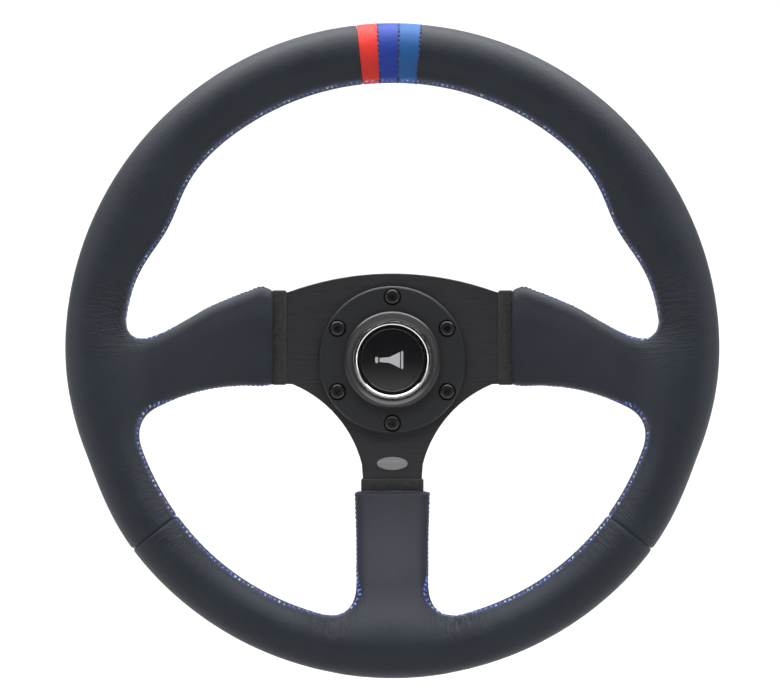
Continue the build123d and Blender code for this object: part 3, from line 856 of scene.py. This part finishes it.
# ---- Metals and plastics -----------------------------------------------------------------------
# The plate is brushed along its arms and anodised black; the ring, hub, coupler and collar are turned
# and anodised; screws are black oxide. The horn's ring is chrome and its cap is glossy moulded plastic.
def scratch_group(name, stretch, turned):
    """Long fine tool marks: straight along X, or in circles round the hub axis if turned."""
    group = bpy.data.node_groups.new(name, "ShaderNodeTree")
    group.interface.new_socket("Marks", in_out="OUTPUT", socket_type="NodeSocketFloat")
    put = group.nodes.new("NodeGroupOutput").inputs
    place = node(group, "ShaderNodeTexCoord").outputs["Object"]
    split = node(group, "ShaderNodeSeparateXYZ")
    group.links.new(place, split.inputs[0])
    run = node(group, "ShaderNodeCombineXYZ")
    if turned:
        across = maths(group, "POWER", split.outputs["X"], 2.0)
        up = maths(group, "POWER", split.outputs["Z"], 2.0)
        radius = maths(group, "SQRT", maths(group, "ADD", across, up))
        around = maths(group, "ARCTAN2", split.outputs["X"], split.outputs["Z"])
        group.links.new(maths(group, "MULTIPLY", radius, stretch), run.inputs[0])
        group.links.new(maths(group, "MULTIPLY", split.outputs["Y"], stretch), run.inputs[1])
        group.links.new(around, run.inputs[2])
    else:
        group.links.new(maths(group, "MULTIPLY", split.outputs["X"], stretch / 55), run.inputs[0])
        group.links.new(maths(group, "MULTIPLY", split.outputs["Y"], stretch / 4), run.inputs[1])
        group.links.new(maths(group, "MULTIPLY", split.outputs["Z"], stretch), run.inputs[2])
    marks = node(group, "ShaderNodeTexNoise", Scale=1.0, Detail=3.0, Roughness=0.6)
    group.links.new(run.outputs[0], marks.inputs["Vector"])
    group.links.new(marks.outputs["Fac"], put["Marks"])
    return group


brushed = scratch_group("brushed_marks", 3200.0, turned=False)
turned_marks = scratch_group("turned_marks", 2600.0, turned=True)


def machined_look(name, colour, roughness, marks, depth, metallic=1.0, variation=0.35, anisotropy=0.0):
    material, tree, shader = new_material(name, colour, roughness, metallic)
    grain = tree.nodes.new("ShaderNodeGroup")
    grain.node_tree = marks
    tone = node(tree, "ShaderNodeValToRGB")
    tone.color_ramp.elements[0].position = 0.25
    tone.color_ramp.elements[0].color = (*[c * (1 - variation) for c in colour], 1)
    tone.color_ramp.elements[1].position = 0.75
    tone.color_ramp.elements[1].color = (*[c * (1 + variation) for c in colour], 1)
    tree.links.new(grain.outputs["Marks"], tone.inputs["Fac"])
    tree.links.new(tone.outputs["Color"], shader.inputs["Base Color"])
    uneven = maths(tree, "MULTIPLY_ADD", grain.outputs["Marks"], 0.14, roughness - 0.07)
    tree.links.new(uneven, shader.inputs["Roughness"])
    shader.inputs["Anisotropic"].default_value = anisotropy
    bumped(tree, shader, grain.outputs["Marks"], depth)
    return material


def plain_look(name, colour, roughness, metallic=0.0, coat=0.0, specular=0.5):
    material, tree, shader = new_material(name, colour, roughness, metallic)
    shader.inputs["Coat Weight"].default_value = coat
    shader.inputs["Coat Roughness"].default_value = 0.2
    shader.inputs["Specular IOR Level"].default_value = specular
    mottle = node(tree, "ShaderNodeTexNoise", Scale=160.0, Detail=4.0)
    tree.links.new(node(tree, "ShaderNodeTexCoord").outputs["Object"], mottle.inputs["Vector"])
    uneven = maths(tree, "MULTIPLY_ADD", mottle.outputs["Fac"], roughness * 0.3, roughness * 0.85)
    tree.links.new(uneven, shader.inputs["Roughness"])
    return material


steel_look = machined_look("bright_steel", (0.60, 0.60, 0.59), 0.26, turned_marks, 0.002 * MM)
plate_look = machined_look("plate_anodised", (0.026, 0.026, 0.029), 0.50, brushed, 0.02 * MM, 0.35, 0.5)
ring_look = machined_look("ring_anodised", (0.014, 0.015, 0.018), 0.50, turned_marks, 0.001 * MM, 0.2, 0.15)
hub_look = machined_look("hub_anodised", (0.040, 0.040, 0.044), 0.36, turned_marks, 0.006 * MM, 0.6)
collar_look = machined_look("collar_anodised", (0.055, 0.055, 0.060), 0.30, turned_marks, 0.008 * MM, 0.7)
brass_look = machined_look("turned_brass", (0.62, 0.42, 0.16), 0.28, turned_marks, 0.002 * MM)
FINISHES = [
    (plate_look, ["spoke_plate"]),
    (ring_look, ["retaining_ring"]),
    (hub_look, ["column_hub", "wheel_coupler"]),
    (collar_look, ["release_collar"]),
    (brass_look, ["column_contact_ring", "contact_pins", "horn_moving_contact"]),
    (brass_look, ["horn_fixed_contact", "horn_terminals"]),
    (steel_look, ["collar_snap_ring", *[f"lock_ball_{k}" for k in range(1, 7)]]),
    (plain_look("bare_tube", (0.30, 0.30, 0.30), 0.45, 1.0), ["rim_core"]),
    (plain_look("black_oxide", (0.055, 0.055, 0.058), 0.26, 0.8), ["wheel_bolts"]),
    (plain_look("moulded_insulator", (0.05, 0.045, 0.04), 0.5), ["column_contact", "coupler_contact_block"]),
    (plain_look("housing_plastic", (0.018, 0.018, 0.020), 0.36, specular=0.6), ["horn_housing"]),
    (plain_look("chrome", (0.86, 0.86, 0.87), 0.13, 1.0), ["horn_bezel"]),
    (plain_look("gloss_cap", (0.004, 0.004, 0.005), 0.25, coat=0.5), ["horn_cap"]),
    (plain_look("symbol_ink", (0.52, 0.53, 0.55), 0.35, 0.3), ["horn_symbol"]),
    (machined_look("badge_metal", (0.50, 0.50, 0.51), 0.34, brushed, 0.004 * MM), ["spoke_badge"]),
]
for look, names in FINISHES:
    finish_with(look, *[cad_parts[name] for name in names])
finish_with(steel_look, collar_return, horn_return)


# ---- Studio ------------------------------------------------------------------------------------
# Pale floor that curves up into a backdrop, a large soft light above, two fills and a pale sky.
floor_z = cad_low.z - 0.08
bm = bmesh.new()
profile = [bm.verts.new((-4, -3.0, floor_z)), bm.verts.new((-4, 1.0, floor_z))]
turns = 12
for k in range(1, turns + 1):
    a = math.pi / 2 * k / turns
    profile.append(bm.verts.new((-4, 1.0 + 0.8 * math.sin(a), floor_z + 0.8 * (1 - math.cos(a)))))
profile.append(bm.verts.new((-4, 1.8, floor_z + 4)))
edges = [bm.edges.new(pair) for pair in zip(profile, profile[1:])]
swept = bmesh.ops.extrude_edge_only(bm, edges=edges)["geom"]
bmesh.ops.translate(bm, vec=(8, 0, 0), verts=[v for v in swept if isinstance(v, bmesh.types.BMVert)])
backdrop = finished("backdrop", bm)
backdrop_look, tree, shader = new_material("pale_backdrop", (0.46, 0.46, 0.46), 0.9)
finish_with(backdrop_look, backdrop)


def soft_light(name, place, aim, size, power):
    light = bpy.data.lights.new(name, "AREA")
    light.shape = "RECTANGLE"
    light.size, light.size_y = size
    light.energy = power
    lamp = bpy.data.objects.new(name, light)
    lamp.location = place
    lamp.rotation_euler = (Vector(aim) - Vector(place)).to_track_quat("-Z", "Y").to_euler()
    bpy.context.scene.collection.objects.link(lamp)


middle = Vector((0, rim_y, rim_z))
soft_light("key_light", (0.0, -0.62, 1.5), middle, (2.8, 1.8), 66)
soft_light("left_fill", (-1.5, -0.5, 0.1), middle, (0.8, 1.6), 8)
soft_light("right_fill", (1.5, -0.5, 0.1), middle, (0.8, 1.6), 8)
soft_light("wash", (0, 0.4, 1.7), (0, 1.7, 0.1), (3.4, 1), 100)
sky = bpy.data.worlds.new("sky")
sky.use_nodes = True
tree = sky.node_tree
split = node(tree, "ShaderNodeSeparateXYZ")
tree.links.new(node(tree, "ShaderNodeTexCoord").outputs["Generated"], split.inputs[0])
away = node(tree, "ShaderNodeMapRange", From_Min=-0.35, From_Max=0.8, To_Min=0.02, To_Max=1.0)
tree.links.new(split.outputs["Y"], away.inputs["Value"])
seen = node(tree, "ShaderNodeLightPath").outputs["Is Camera Ray"]
strength = maths(tree, "MAXIMUM", away.outputs["Result"], seen)
tree.links.new(strength, tree.nodes["Background"].inputs["Strength"])
tree.nodes["Background"].inputs["Color"].default_value = (1, 1, 1, 1)
bpy.context.scene.world = sky
bpy.context.scene.view_settings.view_transform = "Standard"

CAMERA_DISTANCE = 0.987
camera_data = bpy.data.cameras.new("camera")
camera_data.lens = 85.1
camera_data.sensor_width = 36
camera_data.shift_x = -0.003
camera_data.shift_y = 0.0128
camera = bpy.data.objects.new("camera", camera_data)
camera.location = (0, rim_y - CAMERA_DISTANCE, 0)
camera.rotation_euler = (math.radians(90), 0, 0)
bpy.context.scene.collection.objects.link(camera)
bpy.context.scene.camera = camera
